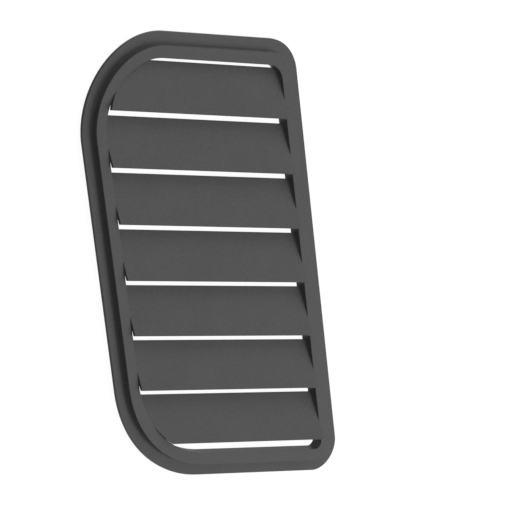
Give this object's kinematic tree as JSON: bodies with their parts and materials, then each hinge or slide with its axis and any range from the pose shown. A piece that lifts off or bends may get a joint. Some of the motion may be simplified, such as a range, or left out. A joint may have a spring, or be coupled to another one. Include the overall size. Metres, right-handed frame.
{
  "type": "car bonnet vent",
  "caption": "Flat louvred bonnet vent: a leaning, round-cornered flange with a raised ring and tilted slats across its opening.",
  "frame": {"origin": "under the middle of the vent's box, level with the foot of the ring", "axes": "+Y towards the front of the car, +X towards its right-hand side, +Z out of the bonnet"},
  "size_m": [0.3475, 0.358, 0.0132],
  "materials": {
    "moulded_plastic": "dark grey moulded plastic, matt, with a very fine grain"
  },
  "bodies": {
    "root": {"vent": "moulded_plastic"}
  },
  "joints": []
}
